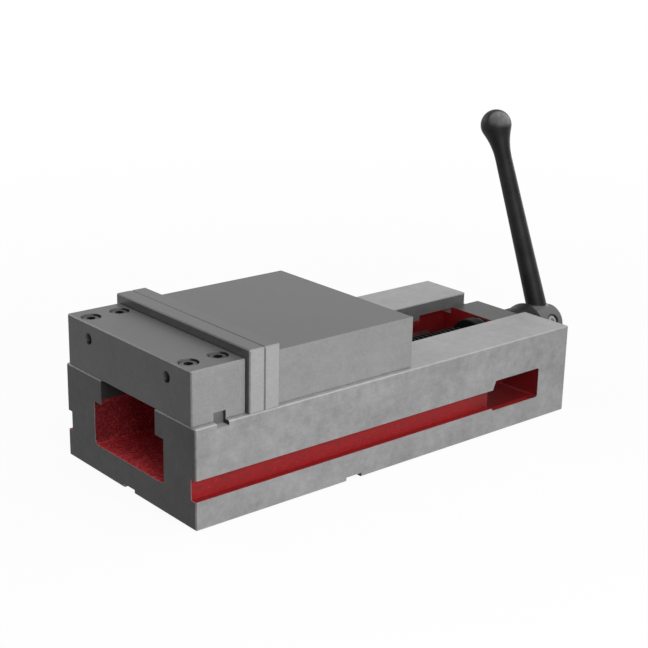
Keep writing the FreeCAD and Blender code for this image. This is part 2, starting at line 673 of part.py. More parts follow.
def make_lead_screw():
    """Lead screw with its thrust flange, journal and flatted spigot."""
    thread = SCREW_DIAMETER / 2
    relief = thread - THREAD_RELIEF_DEPTH
    flange = FLANGE_DIAMETER / 2
    journal = JOURNAL_DIAMETER / 2
    spigot = SPIGOT_DIAMETER / 2
    corners = [
        (SCREW_TIP, 0),
        (SCREW_TIP, relief),
        (SCREW_TIP + THREAD_RELIEF_DEPTH, thread),
        (THREAD_END, thread),
        (THREAD_END + THREAD_RELIEF_DEPTH, relief),
        (FLANGE_FRONT, relief),
        (FLANGE_FRONT, flange - EDGE_BREAK),
        (FLANGE_FRONT + EDGE_BREAK, flange),
        (FLANGE_REAR - EDGE_BREAK, flange),
        (FLANGE_REAR, flange - EDGE_BREAK),
        (FLANGE_REAR, journal),
        (COLLAR_REAR, journal),
        (COLLAR_REAR, spigot),
        (SPIGOT_END - EDGE_BREAK, spigot),
        (SPIGOT_END, spigot - EDGE_BREAK),
        (SPIGOT_END, 0),
    ]
    screw = turned_profile(corners)
    flat_height = spigot - SPIGOT_FLAT_DEPTH
    flat = Part.makeBox(SPIGOT_END - HUB_FRONT, SPIGOT_DIAMETER, SPIGOT_FLAT_DEPTH,
                        Vector(HUB_FRONT, -spigot, flat_height))
    flat.rotate(Vector(0, 0, 0), X_AXIS, handle_screw_angle())
    flat.translate(Vector(0, 0, SCREW_AXIS_HEIGHT))
    return one_solid(screw.cut(flat))


def make_screw_bush():
    """Plain bush of the journal, pressed through the bearing wall."""
    inner = JOURNAL_DIAMETER + 2 * RUNNING_CLEARANCE
    return ring_on_screw_axis(inner + 2 * BUSH_WALL, inner, WALL_FRONT, BOSS_REAR)


def thrust_washer(front):
    """Hard washer of the needle thrust bearing."""
    inner = JOURNAL_DIAMETER + 2 * RUNNING_CLEARANCE
    return ring_on_screw_axis(WASHER_DIAMETER, inner, front, front + WASHER_THICKNESS)


def needle_directions():
    """Directions from the screw's axis to the needles."""
    directions = []
    for step in range(NEEDLE_COUNT):
        angle = 2 * math.pi * step / NEEDLE_COUNT
        directions.append(Vector(0, math.cos(angle), math.sin(angle)))
    return directions


def make_thrust_cage():
    """Cage that spaces the needles, one window for each."""
    middle = NEEDLES_FRONT + NEEDLE_SPACE / 2
    half_window = NEEDLE_LENGTH / 2 + NEEDLE_CLEARANCE
    outer = 2 * (NEEDLE_RING_RADIUS + half_window + CAGE_WALL)
    inner = 2 * (NEEDLE_RING_RADIUS - half_window - CAGE_WALL)
    cage = ring_on_screw_axis(outer, inner, middle - CAGE_THICKNESS / 2, middle + CAGE_THICKNESS / 2)
    width = NEEDLE_DIAMETER + 2 * NEEDLE_CLEARANCE
    window = Part.makeBox(width, NEEDLE_SPACE, 2 * half_window,
                          Vector(-width / 2, -NEEDLE_SPACE / 2, NEEDLE_RING_RADIUS - half_window))
    windows = []
    for direction in needle_directions():
        turned = window.copy()
        turned.Placement = Placement(Vector(middle, 0, SCREW_AXIS_HEIGHT),
                                     Rotation(direction.cross(X_AXIS), X_AXIS, direction, "ZXY"))
        windows.append(turned)
    return one_solid(cage.cut(windows))


def make_thrust_needles():
    """Needles of the thrust bearing, lying like spokes round the journal."""
    middle = Vector(NEEDLES_FRONT + NEEDLE_SPACE / 2, 0, SCREW_AXIS_HEIGHT)
    needles = []
    for direction in needle_directions():
        start = middle + direction * (NEEDLE_RING_RADIUS - NEEDLE_LENGTH / 2)
        needles.append(Part.makeCylinder(NEEDLE_DIAMETER / 2, NEEDLE_LENGTH, start, direction))
    return Part.makeCompound(needles)


def make_boss_washer():
    """Bronze washer between the boss and the retaining collar."""
    inner = JOURNAL_DIAMETER + 2 * RUNNING_CLEARANCE
    return ring_on_screw_axis(COLLAR_DIAMETER, inner, BOSS_REAR, COLLAR_FRONT)


# Retaining collar

def make_retaining_collar():
    """Collar that keeps the screw from drawing forwards, flared to a rear bead."""
    bore = JOURNAL_DIAMETER / 2 + RUNNING_CLEARANCE
    barrel = COLLAR_DIAMETER / 2
    bead = COLLAR_BEAD_DIAMETER / 2
    crown = COLLAR_REAR - COLLAR_BEAD_LENGTH / 2
    flare_start = COLLAR_REAR - COLLAR_BEAD_LENGTH - COLLAR_FLARE_LENGTH
    bend = (crown - flare_start) / 2
    lower = lines_through([
        screw_axis_point(flare_start, barrel),
        screw_axis_point(COLLAR_FRONT + EDGE_BREAK, barrel),
        screw_axis_point(COLLAR_FRONT, barrel - EDGE_BREAK),
        screw_axis_point(COLLAR_FRONT, bore),
        screw_axis_point(COLLAR_REAR, bore),
        screw_axis_point(COLLAR_REAR, barrel),
    ])[:-1]
    flare = Part.BezierCurve()
    flare.setPoles([
        screw_axis_point(flare_start, barrel),
        screw_axis_point(flare_start + bend, barrel),
        screw_axis_point(crown - bend / 2, bead),
        screw_axis_point(crown, bead),
    ])
    rim = Part.BezierCurve()
    rim.setPoles([
        screw_axis_point(crown, bead),
        screw_axis_point(COLLAR_REAR, bead),
        screw_axis_point(COLLAR_REAR, barrel),
    ])
    collar = turned_on_screw_axis(lower + [rim.toShape(), flare.toShape()])
    start = Vector(COLLAR_FRONT + COLLAR_SCREW_FROM_FRONT, 0, SCREW_AXIS_HEIGHT)
    tapped = COLLAR_SCREW_DIAMETER + 2 * THREAD_CLEARANCE
    return one_solid(collar.cut(hole(tapped, start, Y_AXIS, barrel + EDGE_BREAK)))


def make_collar_screw():
    """Set screw that locks the collar on the journal, on the side away from the operator."""
    tip = JOURNAL_DIAMETER / 2 + RUNNING_CLEARANCE
    length = COLLAR_DIAMETER / 2 - tip - EDGE_BREAK
    screw = set_screw(COLLAR_SCREW_DIAMETER, length, COLLAR_SCREW_FLATS)
    place = Vector(COLLAR_FRONT + COLLAR_SCREW_FROM_FRONT, tip, SCREW_AXIS_HEIGHT)
    return placed(screw, place, Y_AXIS)


# Crank handle

def arm_direction():
    """Direction of the crank arm, leaning from the vertical towards +Y."""
    lean = math.radians(ARM_LEAN)
    return Vector(0, math.sin(lean), math.cos(lean))


def handle_screw_angle():
    """Turn about X from +Z to the set screw, square to the arm on the -Y side."""
    return 90.0 - ARM_LEAN


def handle_screw_direction():
    """Direction of the handle's set screw."""
    turn = math.radians(handle_screw_angle())
    return Vector(0, -math.sin(turn), math.cos(turn))


def crank_arm():
    """Tapered round arm that flares into the ball, made along +Z from the axis."""
    root = ARM_ROOT_DIAMETER / 2
    middle = ARM_MIDDLE_DIAMETER / 2
    neck = ARM_NECK_DIAMETER / 2
    ball = BALL_DIAMETER / 2
    flare = ARM_FLARE_RADIUS
    reach = math.sqrt((ball + flare) ** 2 - (neck + flare) ** 2)
    neck_z = ARM_LENGTH - reach
    share = ball / (ball + flare)
    touch = Vector((neck + flare) * share, 0, ARM_LENGTH - reach * share)
    half_turn = math.atan2(reach, neck + flare) / 2
    flare_middle = Vector(neck + flare - flare * math.cos(half_turn), 0,
                          neck_z + flare * math.sin(half_turn))
    taper = Part.BezierCurve()
    taper.setPoles([Vector(root, 0, 0), Vector(middle, 0, neck_z / 2), Vector(neck, 0, neck_z)])
    neck_arc = Part.Arc(Vector(neck, 0, neck_z), flare_middle, touch)
    top = Vector(0, 0, ARM_LENGTH + ball)
    ball_arc = Part.Arc(touch, Vector(ball, 0, ARM_LENGTH), top)
    edges = [
        Part.LineSegment(Vector(0, 0, 0), Vector(root, 0, 0)).toShape(),
        taper.toShape(),
        neck_arc.toShape(),
        ball_arc.toShape(),
        Part.LineSegment(top, Vector(0, 0, 0)).toShape(),
    ]
    return Part.Face(Part.Wire(edges)).revolve(Vector(0, 0, 0), Z_AXIS, 360)


def on_arm_root(point):
    """True on the seam between the arm and the hub."""
    offset = point - Vector(ARM_X, 0, SCREW_AXIS_HEIGHT)
    along = offset.dot(arm_direction())
    sideways = (offset - arm_direction() * along).Length
    return along > ARM_ROOT_DIAMETER / 2 and near(sideways, ARM_ROOT_DIAMETER / 2, EDGE_BREAK)


def make_handle():
    """Forged crank: hub, tapered arm and ball grip in one piece."""
    hub = cylinder_on_screw_axis(HUB_DIAMETER, HUB_FRONT, HUB_REAR)
    hub = hub.makeFillet(HUB_RIM_RADIUS, edges_at(hub, lambda p: near(p.x, HUB_FRONT)
                                                  or near(p.x, HUB_REAR)))
    centre = Vector(ARM_X, 0, SCREW_AXIS_HEIGHT)
    handle = hub.fuse(placed(crank_arm(), centre, arm_direction()))
    handle = handle.makeFillet(ARM_ROOT_FILLET, edges_at(handle, on_arm_root))
    bore = SPIGOT_DIAMETER + 2 * RUNNING_CLEARANCE
    direction = handle_screw_direction()
    tapped = HANDLE_SCREW_DIAMETER + 2 * THREAD_CLEARANCE
    mouth = HUB_DIAMETER / 2 - HANDLE_SCREW_COUNTERSINK
    countersink = Part.makeCone(tapped / 2, tapped / 2 + 2 * HANDLE_SCREW_COUNTERSINK,
                                2 * HANDLE_SCREW_COUNTERSINK, centre + direction * mouth, direction)
    cutters = [
        cylinder_on_screw_axis(bore, HUB_FRONT, HUB_REAR),
        hole(tapped, centre, direction, HUB_DIAMETER / 2),
        countersink,
    ]
    return one_solid(handle.cut(cutters))


def make_handle_screw():
    """Set screw that clamps the handle on the flat of the spigot."""
    tip = SPIGOT_DIAMETER / 2 - SPIGOT_FLAT_DEPTH
    length = HUB_DIAMETER / 2 - HANDLE_SCREW_RECESS - tip
    screw = set_screw(HANDLE_SCREW_DIAMETER, length, HANDLE_SCREW_FLATS)
    direction = handle_screw_direction()
    place = Vector(ARM_X, 0, SCREW_AXIS_HEIGHT) + direction * tip
    return placed(screw, place, direction)


def make_parts():
    """Every node of the vise by name."""
    return {
        "bed": make_bed(),
        "fixed_jaw": make_fixed_jaw(),
        "fixed_jaw_key": make_fixed_jaw_key(),
        "fixed_jaw_screws": make_fixed_jaw_screws(),
        "fixed_jaw_plate": jaw_plate(1),
        "fixed_plate_screws": plate_screws(1),
        "screw_bush": make_screw_bush(),
        "bearing_wall_washer": thrust_washer(REAR_WASHER_FRONT),
        "boss_washer": make_boss_washer(),
        "thrust_cage": make_thrust_cage(),
        "thrust_needles": make_thrust_needles(),
        "bearing_flange_washer": thrust_washer(FLANGE_REAR),
        "lead_screw": make_lead_screw(),
        "retaining_collar": make_retaining_collar(),
        "collar_set_screw": make_collar_screw(),
        "crank_handle": make_handle(),
        "handle_set_screw": make_handle_screw(),
        "movable_jaw": make_movable_jaw(),
        "movable_jaw_plate": jaw_plate(-1),
        "movable_plate_screws": plate_screws(-1),
        "nut": make_nut(),
        "lock_segment": make_lock_segment(),
        "adjusting_screw": make_adjusting_screw(),
    }


def main():
    """Write one STEP file for each node."""
    os.makedirs("parts", exist_ok=True)
    for name, shape in make_parts().items():
        shape.exportStep(os.path.join("parts", name + ".step"))
        print(name, "solids", len(shape.Solids), "volume", round(shape.Volume, 1))


main()
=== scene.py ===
"""Looks of a low precision machine vise.

Ground iron, red paint in the casting's hollows, a black crank and a threaded screw.
"""

import json
import logging
import math
from dataclasses import dataclass
from enum import Enum
from typing import Any, ClassVar, Dict, List, NamedTuple, Optional, Tuple, Union

import bpy
from mathutils import Matrix, Vector

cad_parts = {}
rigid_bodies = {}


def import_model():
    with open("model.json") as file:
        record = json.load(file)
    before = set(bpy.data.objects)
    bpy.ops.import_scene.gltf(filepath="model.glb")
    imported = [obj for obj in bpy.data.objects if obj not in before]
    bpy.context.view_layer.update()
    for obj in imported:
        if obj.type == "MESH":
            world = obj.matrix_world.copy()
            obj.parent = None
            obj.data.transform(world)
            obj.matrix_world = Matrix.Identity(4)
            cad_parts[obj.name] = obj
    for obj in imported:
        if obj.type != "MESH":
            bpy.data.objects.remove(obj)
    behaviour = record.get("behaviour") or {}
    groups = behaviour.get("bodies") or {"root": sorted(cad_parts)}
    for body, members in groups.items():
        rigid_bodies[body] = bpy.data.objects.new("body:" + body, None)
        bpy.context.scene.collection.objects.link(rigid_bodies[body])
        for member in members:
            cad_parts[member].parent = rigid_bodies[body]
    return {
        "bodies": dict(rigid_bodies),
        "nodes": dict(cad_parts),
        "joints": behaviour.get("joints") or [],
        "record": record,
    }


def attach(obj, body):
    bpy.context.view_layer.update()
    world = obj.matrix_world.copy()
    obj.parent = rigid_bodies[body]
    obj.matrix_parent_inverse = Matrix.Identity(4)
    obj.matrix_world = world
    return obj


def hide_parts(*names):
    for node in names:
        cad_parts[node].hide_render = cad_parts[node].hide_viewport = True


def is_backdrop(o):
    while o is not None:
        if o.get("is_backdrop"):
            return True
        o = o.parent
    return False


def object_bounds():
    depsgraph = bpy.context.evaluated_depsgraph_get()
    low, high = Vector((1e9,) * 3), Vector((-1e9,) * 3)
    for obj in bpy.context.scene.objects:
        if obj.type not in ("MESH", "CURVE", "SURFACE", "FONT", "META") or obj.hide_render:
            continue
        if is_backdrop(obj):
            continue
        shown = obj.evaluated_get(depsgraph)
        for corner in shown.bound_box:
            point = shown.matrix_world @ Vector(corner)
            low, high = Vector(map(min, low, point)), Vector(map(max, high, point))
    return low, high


log = logging.getLogger("vise")

Colour = Tuple[float, float, float]
Number = Union[float, "Wire"]

MM = 0.001
WHITE: Colour = (1.0, 1.0, 1.0)

# Sizes that several pieces share: millimetres and degrees.
AXIS_Z = 41.0
SET_SCREW_TURN = 68.2
VISE_MIDDLE = 120.0

# A face looks along an axis where its normal's part passes FACE, give or take FACE_SOFT.
FACE = 0.7
FACE_SOFT = 0.1


class Lay(Enum):
    """Direction of the grinding marks on a face."""

    ALONG_BED = "x"
    ACROSS_BED = "y"


class Grain(NamedTuple):
    """Noise by the size of its lumps in mm, its finer layers, their strength and its stretch."""

    size: float
    detail: float = 3.0
    rough: float = 0.55
    stretch: Tuple[float, float, float] = (1.0, 1.0, 1.0)


# Ground iron
CLOUDS = Grain(30.0, 4.0, 0.66)
MOTTLE = Grain(7.0, 3.0, 0.62)
PORES = Grain(1.8, 2.0, 0.7)
WEAR = Grain(9.0, 3.0, 0.6)
STREAKS = {Lay.ALONG_BED: Grain(1.1, 2.0, 0.6, (0.035, 1.0, 1.0)),
           Lay.ACROSS_BED: Grain(1.1, 2.0, 0.6, (1.0, 0.035, 1.0))}

# Red paint
PAINT_EDGE = Grain(5.0, 3.0, 0.6)
CAST_LUMPS = Grain(3.2, 4.0, 0.62)
BRUSH_MARKS = Grain(2.2, 3.0, 0.6, (0.12, 1.0, 1.0))
RUSTY_PLACES = Grain(14.0)
DUST_AND_SHEEN_SPECKS = Grain(1.5, 2.0, 0.7)

# Black forging, screws and turned metal
FORGED_SKIN = Grain(2.4, 4.0, 0.65)
HANDLING = Grain(22.0, 3.0, 0.6)
TURNING_MARKS = Grain(0.7, 2.0, 0.5, (1.0, 0.05, 0.05))
OXIDE = Grain(0.8, 3.0, 0.6)
OIL = Grain(4.0, 2.0, 0.5)
OIL_FILM = Grain(6.0, 3.0, 0.6)

# Floor
FLOOR_CLOTH = Grain(60.0, 2.0, 0.5)


class Wire:
    """A node's output that takes part in ordinary arithmetic."""

    def __init__(self, board: "Board", socket: bpy.types.NodeSocket) -> None:
        """Keep the socket and the nodes it belongs to.

        Args:
            board: The nodes under construction.
            socket: The output socket that carries the value.
        """
        self.board = board
        self.socket = socket

    def _maths(self, operation: str, *values: Number, clamp: bool = False) -> "Wire":
        """One Math node.

        Args:
            operation: The node's operation.
            values: Its inputs in order.
            clamp: Whether the result is held between 0 and 1.

        Returns:
            The result.
        """
        node = self.board.node("ShaderNodeMath", {"operation": operation, "use_clamp": clamp},
                               dict(enumerate(values)))
        return Wire(self.board, node.outputs[0])

    def __add__(self, other: Number) -> "Wire":
        """Sum."""
        return self._maths("ADD", self, other)

    __radd__ = __add__

    def __sub__(self, other: Number) -> "Wire":
        """Difference."""
        return self._maths("SUBTRACT", self, other)

    def __rsub__(self, other: Number) -> "Wire":
        """Difference from a plain number."""
        return self._maths("SUBTRACT", other, self)

    def __mul__(self, other: Number) -> "Wire":
        """Product."""
        return self._maths("MULTIPLY", self, other)

    __rmul__ = __mul__

    def __truediv__(self, other: Number) -> "Wire":
        """Quotient."""
        return self._maths("DIVIDE", self, other)

    def __rtruediv__(self, other: Number) -> "Wire":
        """Quotient of a plain number."""
        return self._maths("DIVIDE", other, self)

    def __pow__(self, other: Number) -> "Wire":
        """Power."""
        return self._maths("POWER", self, other)

    def __abs__(self) -> "Wire":
        """Size without sign."""
        return self._maths("ABSOLUTE", self)

    def held(self) -> "Wire":
        """The value held between 0 and 1."""
        return self._maths("ADD", self, 0.0, clamp=True)

    def or_more(self, other: Number) -> "Wire":
        """The larger of two values."""
        return self._maths("MAXIMUM", self, other)

    def above(self, edge: Number, soft: float = 0.15) -> "Wire":
        """Mask that is 1 above an edge.

        Args:
            edge: The value at the middle of the step.
            soft: Half the width of the step.

        Returns:
            The mask.
        """
        return ((self - edge) * (0.5 / soft) + 0.5).held()

    def below(self, edge: Number, soft: float = 0.15) -> "Wire":
        """Mask that is 1 below an edge.

        Args:
            edge: The value at the middle of the step.
            soft: Half the width of the step.

        Returns:
            The mask.
        """
        return 1.0 - self.above(edge, soft)

    def between(self, low: Number, high: Number, soft: float = 0.15) -> "Wire":
        """Mask that is 1 between two edges.

        Args:
            low: The lower edge.
            high: The upper edge.
            soft: Half the width of each step.

        Returns:
            The mask.
        """
        return self.above(low, soft) * self.below(high, soft)


class Board:
    """The nodes of one material, or of the surroundings."""

    def __init__(self, owner: Union[bpy.types.Material, bpy.types.World]) -> None:
        """Start with no nodes.

        Args:
            owner: What the nodes belong to.
        """
        owner.use_nodes = True
        self.tree = owner.node_tree
        self.tree.nodes.clear()

    def node(self, kind: str, settings: Optional[Dict[str, Any]] = None,
             sockets: Optional[Dict[Union[int, str], Any]] = None) -> bpy.types.Node:
        """Add a node, set what it is, then feed its sockets.

        Args:
            kind: The node's type.
            settings: Its properties.
            sockets: Values or links by the socket's index, identifier or name.

        Returns:
            The node.
        """
        made = self.tree.nodes.new(kind)
        for key, value in (settings or {}).items():
            setattr(made, key, value)
        for key, value in (sockets or {}).items():
            self.feed(self._socket(made.inputs, key), value)
        return made

    @staticmethod
    def _socket(sockets: Any, key: Union[int, str]) -> bpy.types.NodeSocket:
        """Find a socket by index, identifier or name.

        Args:
            sockets: The node's inputs or outputs.
            key: What to look for.

        Returns:
            The socket.
        """
        if isinstance(key, int):
            return sockets[key]
        for socket in sockets:
            if socket.identifier == key:
                return socket
        return sockets[key]

    def feed(self, socket: bpy.types.NodeSocket, value: Any) -> None:
        """Link a socket or set its value.

        Args:
            socket: The input.
            value: A wire, an output socket, a number or a colour.
        """
        if isinstance(value, Wire):
            self.tree.links.new(value.socket, socket)
        elif isinstance(value, bpy.types.NodeSocket):
            self.tree.links.new(value, socket)
        elif isinstance(value, (tuple, list)) and socket.type == "RGBA":
            socket.default_value = (*value[:3], 1.0)
        else:
            socket.default_value = value

    def seen(self) -> Wire:
        """Tell rays that show the surroundings from the light that these give.

        Returns:
            1 for camera, glossy and transmitted rays, 0 for the rest.
        """
        rays = self.node("ShaderNodeLightPath").outputs
        camera, glossy, clear = (Wire(self, rays[f"Is {kind} Ray"])
                                 for kind in ("Camera", "Glossy", "Transmission"))
        return camera.or_more(glossy).or_more(clear)


class Sheet(Board):
    """One material under construction, with millimetre coordinates of the piece."""

    def __init__(self, name: str) -> None:
        """Start an empty material with its surface shader.

        Args:
            name: The material's name.
        """
        self.material = bpy.data.materials.new(name)
        super().__init__(self.material)
        self.surface = self.node("ShaderNodeBsdfPrincipled")
        self.output = self.node("ShaderNodeOutputMaterial",
                                sockets={"Surface": self.surface.outputs[0]})
        coordinates = self.node("ShaderNodeTexCoord").outputs
        self.place = coordinates["Object"]
        self.x, self.y, self.z = (part * (1.0 / MM) for part in self.parts(self.place))
        self.nx, self.ny, self.nz = self.parts(coordinates["Normal"])

    def parts(self, vector: bpy.types.NodeSocket) -> Tuple[Wire, Wire, Wire]:
        """The three parts of a vector.

        Args:
            vector: The vector's socket.

        Returns:
            X, Y and Z.
        """
        split = self.node("ShaderNodeSeparateXYZ", sockets={0: vector})
        return tuple(Wire(self, out) for out in split.outputs)

    def stretched(self, scale: Tuple[float, float, float]) -> bpy.types.NodeSocket:
        """The piece's coordinates stretched along its axes.

        Args:
            scale: The stretch along each axis.

        Returns:
            The stretched vector.
        """
        mapping = self.node("ShaderNodeMapping", {"vector_type": "POINT"},
                            {"Vector": self.place, "Scale": scale})
        return mapping.outputs[0]

    def grain(self, grain: Grain) -> Wire:
        """Noise around 0.5.

        Args:
            grain: Its size, layers and stretch.

        Returns:
            The noise.
        """
        noise = self.node("ShaderNodeTexNoise", {"noise_dimensions": "3D"},
                          {"Vector": self.stretched(grain.stretch),
                           "Scale": 1.0 / (grain.size * MM),
                           "Detail": grain.detail, "Roughness": grain.rough})
        return Wire(self, noise.outputs[0])

    def spots(self, size_mm: float, share: float) -> Wire:
        """Mask of small scattered spots.

        Args:
            size_mm: The distance between neighbours.
            share: The spots' radius as a share of that distance.

        Returns:
            The mask.
        """
        cells = self.node("ShaderNodeTexVoronoi", {"feature": "F1"},
                          {"Vector": self.place, "Scale": 1.0 / (size_mm * MM),
                           "Randomness": 1.0})
        return Wire(self, cells.outputs[0]).below(share, share * 0.35)

    def blend(self, factor: Number, low: Any, high: Any) -> bpy.types.NodeSocket:
        """Mix of two colours.

        Args:
            factor: 0 for the first, 1 for the second.
            low: The first colour or its socket.
            high: The second colour or its socket.

        Returns:
            The mixed colour.
        """
        mix = self.node("ShaderNodeMix", {"data_type": "RGBA", "clamp_factor": True},
                        {"Factor_Float": factor, "A_Color": low, "B_Color": high})
        return self._socket(mix.outputs, "Result_Color")

    def shaded(self, colour: Any, amount: Number) -> bpy.types.NodeSocket:
        """A colour multiplied by a grey amount.

        Args:
            colour: The colour or its socket.
            amount: The factor for all three channels.

        Returns:
            The scaled colour.
        """
        scaled = self.node("ShaderNodeVectorMath", {"operation": "SCALE"},
                           {"Vector": colour, "Scale": amount})
        return scaled.outputs[0]

    def grey(self, tone: Number) -> bpy.types.NodeSocket:
        """White scaled by a tone."""
        return self.shaded(WHITE, tone)

    def from_axis(self) -> Wire:
        """Distance from the screw's axis in millimetres."""
        rise = self.z - AXIS_Z
        return (self.y * self.y + rise * rise) ** 0.5

    def relief(self, height: Number, depth_mm: float,
               strength: float = 1.0) -> bpy.types.NodeSocket:
        """Bump from a height between 0 and 1.

        Args:
            height: The height.
            depth_mm: What a height of 1 stands for.
            strength: How much of it shows.

        Returns:
            The bent normal.
        """
        bump = self.node("ShaderNodeBump", sockets={
            "Strength": strength, "Distance": depth_mm * MM, "Height": height})
        return bump.outputs[0]

    def finish(self, colour: Any, rough: Number, metal: Number, normal: Any = None,
               specular: float = 0.5) -> bpy.types.Material:
        """Feed the surface shader.

        Args:
            colour: The base colour.
            rough: The roughness.
            metal: How metallic it is.
            normal: The bent normal, if any.
            specular: The level of the plain gloss.

        Returns:
            The finished material.
        """
        for name, value in (("Base Color", colour), ("Roughness", rough), ("Metallic", metal)):
            self.feed(self.surface.inputs[name], value)
        self.surface.inputs["Specular IOR Level"].default_value = specular
        if normal is not None:
            self.feed(self.surface.inputs["Normal"], normal)
        return self.material


def edge_mask(sheet: Sheet, squarest: float = 0.86) -> Wire:
    """Mask of the small chamfers between square faces.

    Args:
        sheet: The material under construction.
        squarest: The largest part that a chamfer's normal may have.

    Returns:
        1 on faces that lean away from all three axes.
    """
    largest = abs(sheet.nx).or_more(abs(sheet.ny)).or_more(abs(sheet.nz))
    return largest.below(squarest, 0.06)


def hole_mask(sheet: Sheet, inner: float = 36.0, outer: float = 70.0) -> Wire:
    """Mask of the walls of the holes between the rails' lips and the outer sides.

    Args:
        sheet: The material under construction.
        inner: Half the width between the lips.
        outer: Where the outer sides' edges begin.

    Returns:
        1 on walls that face across the bed away from its flat sides.
    """
    return abs(sheet.y).between(inner, outer, 0.5) * abs(sheet.ny).above(0.12, 0.03)


@dataclass(frozen=True)
class GroundIron:
    """Cast iron or steel, ground flat, its broken edges lighter: partly wear, partly painted
    highlight.
    """

    name: str
    side_tone: float = 0.36
    # Tones by which way a face looks paint light and shade: the dark end faces are painted shade.
    top_painted_tone: float = 0.36
    end_painted_shade: float = 0.30
    edge_wear_and_highlight: float = 0.62
    rough: float = 0.46
    metal: float = 0.08
    gloss: float = 0.35
    lay: Lay = Lay.ALONG_BED
    marks: float = 0.05
    blotches: float = 0.34
    cloud_share: float = 1.3
    pore_share: float = 0.28
    calm_tops: float = 0.75
    lively_ends: float = 1.8
    cross_edges: float = 0.45
    least_wear_and_highlight: float = 0.55
    hole_shade: float = 0.75
    painted_shade_from: float = 1000.0
    painted_shade_share: float = 0.12

    def stains(self, sheet: Sheet, pores: Wire) -> Wire:
        """Uneven tone of the iron, from large clouds down to pores.

        Args:
            sheet: The material under construction.
            pores: The finest noise.

        Returns:
            The share by which the tone is off, around 0.
        """
        clouds = sheet.grain(CLOUDS) - 0.5
        mottle = sheet.grain(MOTTLE) - 0.5
        return (clouds * (self.cloud_share * self.blotches) + mottle * self.blotches
                + (pores - 0.5) * self.pore_share)

    def ground(self, sheet: Sheet) -> Tuple[Wire, Wire, Wire]:
        """Tone, wear and height of the ground surface.

        Args:
            sheet: The material under construction.

        Returns:
            Grey tone, edge mask and the grinding marks' height.
        """
        top = sheet.nz.above(FACE, FACE_SOFT)
        end = abs(sheet.nx).above(FACE, FACE_SOFT)
        # Painted light and shade by which way a face looks: tops and ends differ from the sides.
        tone = (self.side_tone + top * (self.top_painted_tone - self.side_tone)
                + end * (self.end_painted_shade - self.side_tone))
        streaks = sheet.grain(STREAKS[self.lay])
        pores = sheet.grain(PORES)
        stained = self.stains(sheet, pores) * (1.0 - top * self.calm_tops + end * self.lively_ends)
        tone = tone * (1.0 + (streaks - 0.5) * (2.0 * self.marks) + stained)
        holes = hole_mask(sheet)
        # Lighter chamfers: partly wear, partly painted highlight.
        wear_and_highlight = (self.least_wear_and_highlight + sheet.grain(WEAR) * 0.8).held()
        # cross_edges takes the lightening off chamfers that look along the bed; below 0 it darkens
        # them, painted shade in the plates' seam.
        across = abs(sheet.nx).above(0.45, 0.1) * (1.0 - self.cross_edges)
        edges = edge_mask(sheet) * wear_and_highlight * (1.0 - holes) * (1.0 - across)
        tone = tone + edges * (self.edge_wear_and_highlight - self.side_tone)
        # Painted shade on what lies past painted_shade_from, deep by the bearing's wall.
        tone = tone * (1.0 - sheet.x.above(self.painted_shade_from) * (1.0 - self.painted_shade_share))
        return tone * (1.0 - holes * self.hole_shade), edges, streaks * 0.6 + pores * 0.4

    def roughness(self, height: Wire, edges: Wire) -> Wire:
        """Roughness of the ground surface: uneven with its marks, smoother on the lightened edges.
        """
        return self.rough + (height - 0.5) * 0.16 - edges * 0.12

    def material(self) -> bpy.types.Material:
        """Build the material.

        Returns:
            The material.
        """
        sheet = Sheet(self.name)
        tone, edges, height = self.ground(sheet)
        return sheet.finish(sheet.grey(tone), self.roughness(height, edges), self.metal,
                            sheet.relief(height, 0.05, 0.35), self.gloss)


